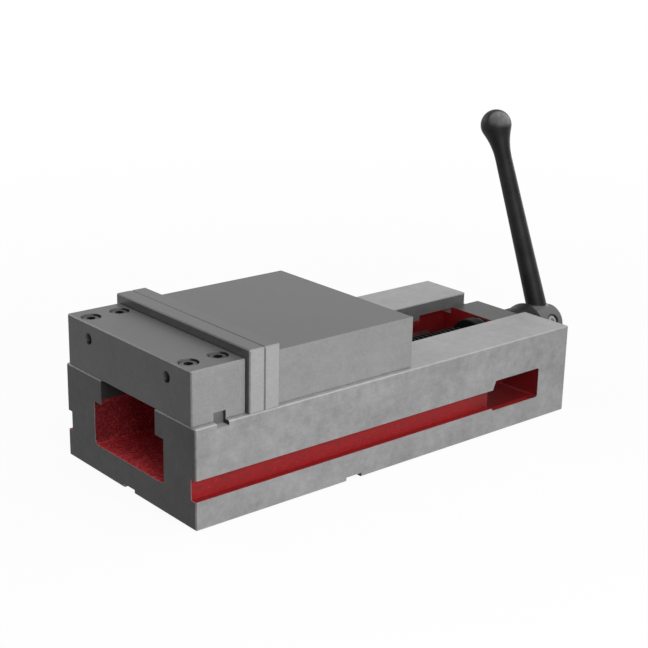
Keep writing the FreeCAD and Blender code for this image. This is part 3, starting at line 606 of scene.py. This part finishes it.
@dataclass(frozen=True)
class PaintedCasting(GroundIron):
    """Bed casting: ground outside, rough and painted red in its hollows."""

    front: float = -55.5
    half_width: float = 80.0
    chamfer_depth: float = 5.4
    wall: float = 288.5
    skin: float = 0.4
    channel_half: float = 43.7
    channel_floor: float = 18.5
    channel_paint_top: float = 53.2
    creep_rear: float = 250.0
    creep: float = 3.6
    ragged: float = 1.2
    pocket_front: float = 250.2
    pocket_top: float = 60.9
    groove_inner: float = 43.0
    groove_bottom: float = 17.8
    groove_top: float = 43.4
    groove_rear: float = 274.0
    window_end: float = 264.0
    patch_inner: float = 34.6
    patch_bottom: float = 55.2
    patch_tone: float = 0.34
    low_top: float = 61.0
    low_tone: float = 0.081
    lip_inner: float = 32.5
    lip_outer: float = 34.2
    # Painted shade on the lips' inner sides, deeper under the fixed jaw.
    lip_painted_shade: float = 0.12
    lip_under_jaw_shade: float = 0.35
    jaw_shadow_end: float = 16.0
    red: Colour = (0.38, 0.011, 0.013)
    deep_red: Colour = (0.23, 0.012, 0.015)
    rust: Colour = (0.50, 0.05, 0.035)
    rust_share: float = 0.7
    # Pale specks near the mouth: partly grit, partly painted sheen.
    dust_and_sheen: Colour = (0.62, 0.11, 0.13)
    dust_and_sheen_share: float = 1.7
    dust_and_sheen_rear: float = 150.0
    # Painted light and shade on the red, set by the fields below.
    deep_from: float = 205.0
    deep_painted_shade: float = 0.56
    mouth_rear: float = 70.0
    wall_rise: float = -20.0
    wall_front_painted_shade: float = 0.50
    wall_deep_painted_light: float = 1.70
    floor_painted_light: float = 1.65
    hole_shade: float = 0.0

    def bare_patch(self, sheet: Sheet) -> Wire:
        """Mask of the wall's unpainted corners beside the rails.

        Args:
            sheet: The material under construction.

        Returns:
            1 on the bare corners.
        """
        corner = abs(sheet.y).above(self.patch_inner) * sheet.z.above(self.patch_bottom)
        return corner * sheet.x.between(self.wall - self.skin, self.wall + self.skin)

    def paint(self, sheet: Sheet) -> Wire:
        """Mask of the painted hollows: side grooves, channel and the pocket at the wall.

        Args:
            sheet: The material under construction.

        Returns:
            1 on paint.
        """
        away = abs(sheet.y)
        grooves = away.between(self.groove_inner, self.half_width - 0.35)
        grooves = grooves * sheet.z.between(self.groove_bottom, self.groove_top)
        grooves = grooves * sheet.x.below(self.groove_rear)
        edge = (self.channel_paint_top + sheet.x.below(self.creep_rear, 0.4) * self.creep
                + (sheet.grain(PAINT_EDGE) - 0.5) * self.ragged)
        within = away.below(self.channel_half)
        channel = within * sheet.z.above(self.channel_floor) * sheet.z.below(edge, 0.25)
        pocket = within * sheet.z.below(self.pocket_top) * sheet.x.above(self.pocket_front)
        inside = sheet.x.above(self.front + 0.3) * sheet.x.below(self.wall + self.skin)
        return inside * grooves.or_more(channel).or_more(pocket * (1.0 - self.bare_patch(sheet)))

    def shade(self, sheet: Sheet, within: Wire) -> Wire:
        """Painted light and shade on the red: dim deep in and on the front walls, light further in
        and on the mouth's floor.

        Args:
            sheet: The material under construction.
            within: 1 between the sides of the channel.

        Returns:
            The factor for the paint's colour.
        """
        away = abs(sheet.y)
        facing = sheet.nx.below(-FACE, FACE_SOFT) * away.below(self.channel_half - 0.3, 0.3)
        recessed = away.below(self.half_width - self.chamfer_depth, 0.3)
        recessed = recessed.or_more(sheet.x.above(self.window_end))
        depths = sheet.x.above(self.deep_from, 12.0) * recessed * (1.0 - facing)
        mouth = within * sheet.x.below(self.mouth_rear, 30.0)
        walls = mouth * abs(sheet.ny).above(FACE, FACE_SOFT)
        rise = sheet.x.above(self.wall_rise, 32.0) * (self.wall_deep_painted_light - self.wall_front_painted_shade)
        light = 1.0 + walls * (self.wall_front_painted_shade + rise - 1.0)
        light = light * (1.0 + (mouth - walls) * (self.floor_painted_light - 1.0))
        return light * (1.0 - depths * (1.0 - self.deep_painted_shade))

    def red_paint(self, sheet: Sheet, cast: Wire) -> bpy.types.NodeSocket:
        """Colour of the paint: lumpy, rusty in spots, with pale specks near the front, partly grit
        and partly painted sheen.

        Args:
            sheet: The material under construction.
            cast: The casting's lumps.

        Returns:
            The colour.
        """
        brushed = sheet.grain(BRUSH_MARKS)
        red = sheet.blend((cast - 0.32) * 2.2, self.deep_red, self.red)
        specks = sheet.spots(2.6, 0.18) * sheet.grain(RUSTY_PLACES).above(0.5, 0.08)
        red = sheet.blend(specks * self.rust_share, red, self.rust)
        within = abs(sheet.y).below(self.channel_half + 0.1)
        speckle = sheet.grain(DUST_AND_SHEEN_SPECKS).above(0.53, 0.08) * (cast - 0.2) * self.dust_and_sheen_share
        dust_and_sheen_mask = within * sheet.x.below(self.dust_and_sheen_rear, 30.0) * speckle
        red = sheet.blend(dust_and_sheen_mask.held(), red, self.dust_and_sheen)
        return sheet.shaded(red, (0.88 + brushed * 0.24) * self.shade(sheet, within))

    def bare_iron(self, sheet: Sheet, tone: Wire) -> Wire:
        """Tone of the unpainted iron: its dark ledge, painted shade on the lips' inner sides and
        its bare corners.

        Args:
            sheet: The material under construction.
            tone: The tone of the ground iron.

        Returns:
            The tone.
        """
        ledge = sheet.z.between(self.low_top - 0.5, self.low_top + 0.5)
        ledge = ledge * sheet.nz.above(FACE, FACE_SOFT)
        tone = tone * (1.0 - ledge * (1.0 - self.low_tone / self.top_painted_tone))
        # Painted shade on the lips' inner sides, deeper in the shadow under the fixed jaw.
        lips = abs(sheet.y).between(self.lip_inner, self.lip_outer)
        lips = lips * abs(sheet.ny).above(FACE, FACE_SOFT)
        front = sheet.x.below(self.jaw_shadow_end) * (1.0 - self.lip_under_jaw_shade)
        tone = tone * (1.0 - lips * (1.0 - (1.0 - front) * (self.lip_painted_shade / self.side_tone)))
        bare = self.bare_patch(sheet)
        return tone * (1.0 - bare) + bare * self.patch_tone

    def material(self) -> bpy.types.Material:
        """Build the material.

        Returns:
            The material.
        """
        sheet = Sheet(self.name)
        tone, edges, marks = self.ground(sheet)
        paint = self.paint(sheet)
        iron = 1.0 - paint
        cast = sheet.grain(CAST_LUMPS)
        colour = sheet.blend(paint, sheet.grey(self.bare_iron(sheet, tone)),
                             self.red_paint(sheet, cast))
        rough = self.roughness(marks, edges) * iron + paint * (0.42 + cast * 0.2)
        height = marks * 0.1 * iron + paint * cast
        return sheet.finish(colour, rough, self.metal * iron, sheet.relief(height, 0.5, 0.5),
                            self.gloss)


@dataclass(frozen=True)
class BlackForging:
    """Forged crank with a satin black skin, its hub turned and a painted highlight on its ball."""

    name: str
    tone: float = 0.008
    rubbed: float = 0.022
    hub_tone: float = 0.140
    tint: Colour = (1.0, 1.0, 1.02)
    rough: float = 0.50
    gloss: float = 0.15
    hub_radius: float = 16.6
    hub_front: float = 347.9
    hub_rear: float = 375.6
    ball_bottom: float = 205.8
    # Painted highlight on the ball, on the side its normal turns to.
    highlight_side: Tuple[float, float, float] = (-0.442, -0.781, 0.442)
    highlight_reach: float = 0.72
    highlight_tone: float = 0.058
    highlight_gain: float = 0.115
    screw_x: float = 364.5
    screw_reach: float = 6.2

    def painted_highlight(self, sheet: Sheet, skin: Wire) -> Wire:
        """Tone of the painted highlight on one side of the ball.

        Args:
            sheet: The material under construction.
            skin: The forging's fine lumps.

        Returns:
            The tone to add.
        """
        px, py, pz = self.highlight_side
        highlight_side = (sheet.nx * px + sheet.ny * py + sheet.nz * pz).above(self.highlight_reach, 0.06)
        highlight_side = highlight_side * sheet.z.above(self.ball_bottom, 2.0)
        lean = (sheet.nx + sheet.nz + 0.62) * self.highlight_gain
        return highlight_side * (self.highlight_tone + lean) * (0.35 + skin * 1.3)

    def hub(self, sheet: Sheet) -> Wire:
        """Mask of the turned hub, without the hole of its set screw.

        Args:
            sheet: The material under construction.

        Returns:
            1 on the turned surface.
        """
        turned = sheet.from_axis().below(self.hub_radius, 0.5)
        turned = turned * sheet.x.between(self.hub_front, self.hub_rear, 0.5)
        turn = math.radians(SET_SCREW_TURN)
        rise = sheet.z - AXIS_Z
        beside = sheet.y * math.cos(turn) + rise * math.sin(turn)
        along = rise * math.cos(turn) - sheet.y * math.sin(turn)
        behind = sheet.x - self.screw_x
        reach = (beside * beside + behind * behind) ** 0.5
        return turned * (1.0 - reach.below(self.screw_reach, 0.2) * along.above(6.0))

    def material(self) -> bpy.types.Material:
        """Build the material.

        Returns:
            The material.
        """
        sheet = Sheet(self.name)
        hub = self.hub(sheet)
        skin = sheet.grain(FORGED_SKIN)
        hands = sheet.grain(HANDLING).above(0.55, 0.1)
        turned = sheet.grain(TURNING_MARKS)
        tone = self.tone + hands * (self.rubbed - self.tone) * 0.5 + (skin - 0.5) * 0.016
        tone = tone * (1.0 - hub) + hub * self.hub_tone * (0.75 + turned * 0.5)
        tone = tone + self.painted_highlight(sheet, skin)
        rough = self.rough + (skin - 0.5) * 0.25 - hands * 0.05 - hub * 0.04
        height = skin * (1.0 - hub * 0.7) + turned * hub * 0.3
        return sheet.finish(sheet.shaded(self.tint, tone.held()), rough, 0.0,
                            sheet.relief(height, 0.15, 0.4), self.gloss)


@dataclass(frozen=True)
class BlackScrew:
    """Black oxide on a small screw, greyer on faces that look up and pale on the crank's set
    screw.
    """

    name: str
    tone: float = 0.014
    head_tone: float = 0.070
    pale_tone: float = 0.42
    pale_from: float = 350.0
    rough: float = 0.42
    metal: float = 0.1
    gloss: float = 0.20

    def material(self) -> bpy.types.Material:
        """Build the material.

        Returns:
            The material.
        """
        sheet = Sheet(self.name)
        heads = sheet.nz.above(0.8, FACE_SOFT)
        skin = sheet.grain(OXIDE)
        oil = sheet.grain(OIL)
        tone = self.tone + heads * (self.head_tone - self.tone)
        tone = tone * (0.5 + skin * 0.6 + oil * 0.4)
        tone = tone + sheet.x.above(self.pale_from) * self.pale_tone * (0.6 + oil * 0.6)
        return sheet.finish(sheet.grey(tone), self.rough + (oil - 0.5) * 0.3, self.metal,
                            sheet.relief(skin, 0.06, 0.5), self.gloss)


@dataclass(frozen=True)
class TurnedMetal:
    """Round part turned about the screw's axis, with fine rings and oil in them."""

    name: str
    colour: Colour
    dark: Colour
    rough: float = 0.34
    metal: float = 0.8
    gloss: float = 0.5
    rings_per_mm: float = 2.6

    def material(self) -> bpy.types.Material:
        """Build the material.

        Returns:
            The material.
        """
        sheet = Sheet(self.name)
        faces = abs(sheet.nx).above(FACE, FACE_SOFT)
        rings = sheet.node("ShaderNodeTexNoise", {"noise_dimensions": "1D"}, {
            "W": sheet.from_axis() * faces + sheet.x * (1.0 - faces),
            "Scale": self.rings_per_mm, "Detail": 3.0})
        ring = Wire(sheet, rings.outputs[0]) - 0.5
        film = sheet.grain(OIL_FILM)
        colour = sheet.blend((film - 0.35) * 1.6 + ring * 0.7, self.dark, self.colour)
        return sheet.finish(colour, self.rough + ring * 0.3 + (film - 0.5) * 0.2, self.metal,
                            sheet.relief(ring + 0.5, 0.05, 0.5), self.gloss)


@dataclass(frozen=True)
class Lamp:
    """Square soft lamp that looks at the vise."""

    name: str
    towards: Tuple[float, float, float]
    distance: float
    size: float
    power: float
    aim: Tuple[float, float, float] = (VISE_MIDDLE * MM, 0.0, 0.05)

    def build(self) -> bpy.types.Object:
        """Hang the lamp.

        Returns:
            The lamp.
        """
        data = bpy.data.lights.new(self.name, "AREA")
        data.shape = "SQUARE"
        data.size = self.size
        data.energy = self.power
        lamp = bpy.data.objects.new(self.name, data)
        bpy.context.collection.objects.link(lamp)
        direction = Vector(self.towards).normalized()
        lamp.location = Vector(self.aim) + direction * self.distance
        lamp.rotation_mode = "QUATERNION"
        lamp.rotation_quaternion = direction.to_track_quat("Z", "Y")
        return lamp


@dataclass
class Studio:
    """Camera, lamps, floor and surroundings."""

    target: Tuple[float, float, float] = (0.04964, -0.08, 0.12146)
    distance: float = 0.92634
    azimuth: float = -40.45
    elevation: float = 17.88
    roll: float = 1.21
    lens: float = 77.03
    sensor: float = 36.0
    floor_radius: float = 9.0
    floor_drop: float = 0.0004
    shade_tone: float = 0.20
    seen_tone: float = 0.95
    seen_share: float = 0.93
    white_from: float = 700.0
    around: float = 0.22
    lamps: Tuple[Lamp, ...] = (
        Lamp("key_lamp", (-0.22, -0.95, 0.35), 1.04, 0.7, 7.2),
        Lamp("top_lamp", (0.10, -0.30, 1.0), 1.7, 1.3, 9.0),
        Lamp("end_lamp", (0.97, 0.10, 0.25), 1.9, 1.0, 8.0),
        Lamp("far_lamp", (-0.25, 0.95, 0.45), 1.9, 1.0, 8.0),
    )

    def camera(self) -> bpy.types.Object:
        """Place the camera at the photograph's angle.

        Returns:
            The camera.
        """
        azimuth, elevation = math.radians(self.azimuth), math.radians(self.elevation)
        level = math.cos(elevation)
        back = Vector((math.sin(azimuth) * level, -math.cos(azimuth) * level, math.sin(elevation)))
        right = (-back).cross(Vector((0.0, 0.0, 1.0))).normalized()
        up = right.cross(-back)
        turn = math.radians(self.roll)
        right, up = (right * math.cos(turn) + up * math.sin(turn),
                     up * math.cos(turn) - right * math.sin(turn))
        data = bpy.data.cameras.new("camera")
        data.lens = self.lens
        data.sensor_width = self.sensor
        data.clip_start, data.clip_end = 0.01, 50.0
        camera = bpy.data.objects.new("camera", data)
        bpy.context.collection.objects.link(camera)
        turned = Matrix((right, up, back)).transposed().to_4x4()
        place = Vector(self.target) + back * self.distance
        camera.matrix_world = Matrix.Translation(place) @ turned
        bpy.context.scene.camera = camera
        return camera

    def floor(self) -> bpy.types.Object:
        """Pale floor that keeps the vise's shadow and is plain white far from it.

        Returns:
            The floor.
        """
        bpy.ops.object.select_all(action="DESELECT")
        bpy.ops.mesh.primitive_circle_add(
            vertices=96, radius=self.floor_radius, fill_type="NGON",
            location=(VISE_MIDDLE * MM, 0.0, -self.floor_drop))
        floor = bpy.context.active_object
        floor.name = "floor"
        sheet = Sheet("pale_floor")
        seen = sheet.seen()
        cloth = sheet.grain(FLOOR_CLOTH)
        tone = self.shade_tone + seen * (self.seen_tone - self.shade_tone) + (cloth - 0.5) * 0.01
        sheet.finish(sheet.grey(tone), 0.9, 0.0, specular=0.0)
        glow = sheet.node("ShaderNodeEmission", sockets={"Color": WHITE, "Strength": 1.0})
        along = sheet.x - VISE_MIDDLE
        away = (along * along + sheet.y * sheet.y) ** 0.5
        share = self.seen_share + away.above(self.white_from, 420.0) * (1.0 - self.seen_share)
        mixed = sheet.node("ShaderNodeMixShader", sockets={
            0: seen * share, 1: sheet.surface.outputs[0], 2: glow.outputs[0]})
        sheet.feed(sheet.output.inputs["Surface"], mixed.outputs[0])
        floor.data.materials.append(sheet.material)
        floor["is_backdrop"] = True
        return floor

    def surroundings(self) -> None:
        """White to the eye, dim as light."""
        world = bpy.data.worlds.new("surroundings")
        bpy.context.scene.world = world
        board = Board(world)
        background = board.node("ShaderNodeBackground", sockets={
            "Color": WHITE, "Strength": self.around + board.seen() * (1.0 - self.around)})
        board.node("ShaderNodeOutputWorld", sockets={"Surface": background.outputs[0]})

    def build(self) -> None:
        """Set the whole studio up."""
        bpy.context.scene.view_settings.view_transform = "Standard"
        self.camera()
        self.floor()
        self.surroundings()
        for lamp in self.lamps:
            lamp.build()
        log.info("studio: camera, floor and %d lamps", len(self.lamps))


@dataclass
class LeadScrew:
    """Turned lead screw with its left-hand thread, thrust flange, journal and flatted spigot."""

    tip: float = 34.0
    tip_chamfer: float = 1.2
    thread_end: float = 265.5
    pitch: float = 5.0
    major: float = 16.0
    root: float = 13.2
    ridge_sink: float = 0.4
    ridge_inset: float = 2.6
    crest_share: float = 0.19
    foot_share: float = 0.37
    relief: float = 13.0
    relief_step: float = 0.3
    flange: float = 19.8
    flange_front: float = 274.5
    flange_rear: float = 284.5
    journal: float = 11.0
    journal_end: float = 347.5
    spigot: float = 10.0
    spigot_end: float = 377.0
    flat_start: float = 348.5
    flat_depth: float = 1.5
    chamfer: float = 0.8
    cutter_overrun: float = 2.0
    cutter_width: float = 22.0
    segments: int = 48
    thread_steps: int = 30
    merge: float = 0.01
    smooth_angle: float = 32.0

    def stations(self) -> List[Tuple[float, float]]:
        """Places along the axis with the radius there, from tip to spigot.

        Returns:
            Pairs of place and radius.
        """
        thin = self.flange - self.chamfer
        return [
            (self.tip, self.root - self.tip_chamfer), (self.tip + self.tip_chamfer, self.root),
            (self.thread_end, self.root), (self.thread_end + self.relief_step, self.relief),
            (self.flange_front, self.relief), (self.flange_front, thin),
            (self.flange_front + self.chamfer, self.flange),
            (self.flange_rear - self.chamfer, self.flange), (self.flange_rear, thin),
            (self.flange_rear, self.journal), (self.journal_end, self.journal),
            (self.journal_end, self.spigot), (self.spigot_end - self.chamfer, self.spigot),
            (self.spigot_end, self.spigot - self.chamfer),
        ]

    def body(self) -> bpy.types.Object:
        """Lathe the screw's body: a disc, extruded and resized from station to station.

        Returns:
            The body, without its thread.
        """
        places = self.stations()
        x, radius = places[0]
        centre = Vector((x * MM, 0.0, AXIS_Z * MM))
        bpy.ops.object.select_all(action="DESELECT")
        bpy.ops.mesh.primitive_circle_add(
            vertices=self.segments, radius=radius * MM, fill_type="NGON", location=centre,
            rotation=(0.0, math.pi / 2, 0.0))
        screw = bpy.context.active_object
        screw.name = "lead_screw_thread"
        bpy.ops.object.transform_apply(location=True, rotation=True, scale=True)
        bpy.ops.object.mode_set(mode="EDIT")
        bpy.ops.mesh.select_all(action="SELECT")
        for next_x, next_radius in places[1:]:
            step = (next_x - x) * MM
            bpy.ops.mesh.extrude_region_move(TRANSFORM_OT_translate={"value": (step, 0.0, 0.0)})
            centre.x = next_x * MM
            share = next_radius / radius
            bpy.ops.transform.resize(value=(1.0, share, share), center_override=centre)
            x, radius = next_x, next_radius
        bpy.ops.mesh.select_all(action="SELECT")
        bpy.ops.mesh.normals_make_consistent(inside=False)
        bpy.ops.object.mode_set(mode="OBJECT")
        return screw

    def ridge(self) -> bpy.types.Object:
        """Sweep one thread ridge round the core: a trapezium on the Screw modifier.

        Returns:
            The ridge, closed at both ends.
        """
        start = self.tip + self.ridge_inset
        turns = int((self.thread_end - start - self.pitch) / self.pitch) + 1
        low, high = self.root - self.ridge_sink, self.major
        bpy.ops.object.select_all(action="DESELECT")
        bpy.ops.mesh.primitive_plane_add(size=1.0, location=(0.0, 0.0, 0.0),
                                         rotation=(math.pi / 2, 0.0, 0.0))
        ridge = bpy.context.active_object
        ridge.name = "thread_ridge"
        bpy.ops.object.transform_apply(location=True, rotation=True, scale=True)
        ridge.location = (start * MM, 0.0, AXIS_Z * MM)
        for vertex in ridge.data.vertices:
            outer = vertex.co.z > 0.0
            half = self.pitch * (self.crest_share if outer else self.foot_share)
            vertex.co = Vector((math.copysign(half, vertex.co.x) * MM, 0.0,
                                (high if outer else low) * MM))
        screw = ridge.modifiers.new("thread", "SCREW")
        screw.axis = "X"
        screw.angle = -2.0 * math.pi
        screw.screw_offset = self.pitch * MM
        screw.iterations = turns
        screw.steps = screw.render_steps = self.thread_steps
        screw.use_merge_vertices = False
        bpy.ops.object.modifier_apply(modifier=screw.name)
        bpy.ops.object.mode_set(mode="EDIT")
        bpy.ops.mesh.select_all(action="SELECT")
        bpy.ops.mesh.remove_doubles(threshold=self.merge * MM)
        bpy.ops.mesh.select_all(action="DESELECT")
        bpy.ops.mesh.select_mode(type="EDGE")
        bpy.ops.mesh.select_non_manifold()
        bpy.ops.mesh.edge_face_add()
        bpy.ops.mesh.select_all(action="SELECT")
        bpy.ops.mesh.normals_make_consistent(inside=False)
        bpy.ops.object.mode_set(mode="OBJECT")
        bpy.ops.object.transform_apply(location=True, rotation=True, scale=True)
        return ridge

    def cut_flat(self, screw: bpy.types.Object) -> None:
        """Mill the set screw's flat on the spigot.

        Args:
            screw: The turned body.
        """
        length = (self.spigot_end - self.flat_start + self.cutter_overrun) * MM
        size = self.cutter_width * MM
        turn = math.radians(SET_SCREW_TURN)
        outwards = Vector((0.0, -math.sin(turn), math.cos(turn)))
        reach = (self.spigot - self.flat_depth) * MM + size / 2
        middle = Vector((self.flat_start * MM + length / 2, 0.0, AXIS_Z * MM)) + outwards * reach
        bpy.ops.object.select_all(action="DESELECT")
        bpy.ops.mesh.primitive_cube_add(size=1.0, location=middle, rotation=(turn, 0.0, 0.0),
                                        scale=(length, size, size))
        cutter = bpy.context.active_object
        cut = screw.modifiers.new("flat", "BOOLEAN")
        cut.operation = "DIFFERENCE"
        cut.solver = "EXACT"
        cut.object = cutter
        bpy.context.view_layer.objects.active = screw
        bpy.ops.object.modifier_apply(modifier=cut.name)
        bpy.data.objects.remove(cutter, do_unlink=True)

    def build(self, material: bpy.types.Material) -> bpy.types.Object:
        """Make the screw, join its thread to it and hang it on its body.

        Args:
            material: The screw's finish.

        Returns:
            The finished piece.
        """
        screw = self.body()
        self.cut_flat(screw)
        ridge = self.ridge()
        bpy.ops.object.select_all(action="DESELECT")
        ridge.select_set(True)
        screw.select_set(True)
        bpy.context.view_layer.objects.active = screw
        bpy.ops.object.join()
        bpy.ops.object.shade_smooth_by_angle(angle=math.radians(self.smooth_angle))
        screw.data.materials.clear()
        screw.data.materials.append(material)
        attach(screw, "screw")
        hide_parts("lead_screw")
        log.info("lead screw: %d faces", len(screw.data.polygons))
        return screw


Finish = Union[GroundIron, BlackForging, BlackScrew, TurnedMetal]

# Top and end tones here paint light and shade: the dark ends, and the dark tops of jaws and
# plates, are painted shade.
BED_IRON = PaintedCasting(
    "bed_iron", side_tone=0.33, top_painted_tone=0.37, end_painted_shade=0.030, edge_wear_and_highlight=0.40, gloss=0.28,
    blotches=0.48, calm_tops=0.35)
JAW_IRON = GroundIron(
    "jaw_iron", side_tone=0.30, top_painted_tone=0.105, end_painted_shade=0.050, edge_wear_and_highlight=0.36, rough=0.40,
    lay=Lay.ACROSS_BED, marks=0.04, blotches=0.24, cross_edges=1.0, hole_shade=0.45)
# cross_edges below 0: painted shade on the plates' chamfers, among them their seam.
HARD_STEEL = GroundIron(
    "hard_steel", side_tone=0.39, top_painted_tone=0.10, end_painted_shade=0.09, edge_wear_and_highlight=0.46, rough=0.36,
    lay=Lay.ACROSS_BED, marks=0.05, blotches=0.14, cross_edges=-0.3)
# painted_shade_from darkens the washers by the wall: painted shade.
GROUND_STEEL = GroundIron(
    "ground_steel", side_tone=0.17, top_painted_tone=0.12, end_painted_shade=0.12, edge_wear_and_highlight=0.30, rough=0.36,
    metal=0.3, marks=0.06, blotches=0.05, painted_shade_from=280.0)
NUT_IRON = GroundIron(
    "nut_iron", side_tone=0.20, top_painted_tone=0.22, end_painted_shade=0.20, edge_wear_and_highlight=0.40, rough=0.42,
    metal=0.4)
BLACK_SCREWS = BlackScrew("black_screws")
BLACK_OXIDE = BlackForging("black_oxide")
SCREW_STEEL = TurnedMetal(
    "screw_steel", (0.012, 0.013, 0.013), (0.004, 0.004, 0.005), rough=0.55, metal=0.0, gloss=0.06)
BRONZE = TurnedMetal("bronze", (0.30, 0.18, 0.07), (0.12, 0.07, 0.03))
# Brass dimmed far below its own colour: painted shade on the hidden cage.
SHADED_BEARING_BRASS = TurnedMetal("bearing_brass", (0.06, 0.04, 0.016), (0.03, 0.02, 0.01), gloss=0.2)


class Wardrobe:
    """Makes each finish once and hands it to every piece that wears it."""

    def __init__(self) -> None:
        """Start with nothing made."""
        self.made: Dict[Finish, bpy.types.Material] = {}

    def material(self, finish: Finish) -> bpy.types.Material:
        """The material of a finish.

        Args:
            finish: The finish.

        Returns:
            Its material, made at the first call.
        """
        if finish not in self.made:
            self.made[finish] = finish.material()
        return self.made[finish]


@dataclass
class Assembly:
    """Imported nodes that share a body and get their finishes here."""

    frame: Dict[str, Any]
    wardrobe: Wardrobe
    wears: ClassVar[Dict[str, Finish]] = {}

    def build(self) -> None:
        """Give every node of the group its finish."""
        for node, finish in self.wears.items():
            material = self.wardrobe.material(finish)
            holder = self.frame["nodes"][node]
            if not holder.material_slots:
                holder.data.materials.append(material)
            for slot in holder.material_slots:
                slot.material = material
            log.info("%s wears %s", node, material.name)


class BedAndFixedJaw(Assembly):
    """Casting, fixed jaw with its plate and screws, and the bearing's still pieces."""

    wears = {
        "bed": BED_IRON, "fixed_jaw": JAW_IRON, "fixed_jaw_key": GROUND_STEEL,
        "fixed_jaw_screws": BLACK_SCREWS, "fixed_jaw_plate": HARD_STEEL,
        "fixed_plate_screws": BLACK_SCREWS, "screw_bush": BRONZE,
        "bearing_wall_washer": GROUND_STEEL, "boss_washer": BRONZE}


class BearingCage(Assembly):
    """Cage and needles, which turn at half the screw's speed."""

    wears = {"thrust_cage": SHADED_BEARING_BRASS, "thrust_needles": GROUND_STEEL}


class JawCarriage(Assembly):
    """Movable jaw with its plate, and the nut, half ball and screws that slide with it."""

    wears = {
        "movable_jaw": JAW_IRON, "movable_jaw_plate": HARD_STEEL,
        "movable_plate_screws": BLACK_SCREWS, "nut": NUT_IRON, "lock_segment": GROUND_STEEL,
        "adjusting_screw": BLACK_SCREWS}


class ScrewAndCrank(Assembly):
    """Lead screw, collar and crank, which turn together."""

    wears = {
        "lead_screw": SCREW_STEEL, "bearing_flange_washer": GROUND_STEEL,
        "retaining_collar": BLACK_OXIDE, "collar_set_screw": BLACK_SCREWS,
        "crank_handle": BLACK_OXIDE, "handle_set_screw": BLACK_SCREWS}

    def build(self) -> None:
        """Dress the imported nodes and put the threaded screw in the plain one's place."""
        super().build()
        LeadScrew().build(self.wardrobe.material(SCREW_STEEL))


def main(frame: Dict[str, Any], cad_box: Tuple[Vector, Vector]) -> None:
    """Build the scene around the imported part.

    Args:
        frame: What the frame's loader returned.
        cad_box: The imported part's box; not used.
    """
    Studio().build()
    wardrobe = Wardrobe()
    for group in (BedAndFixedJaw, BearingCage, JawCarriage, ScrewAndCrank):
        group(frame, wardrobe).build()


if __name__ == "__main__":
    logging.basicConfig(level=logging.INFO, format="%(message)s")
    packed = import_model()
    main(packed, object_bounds())
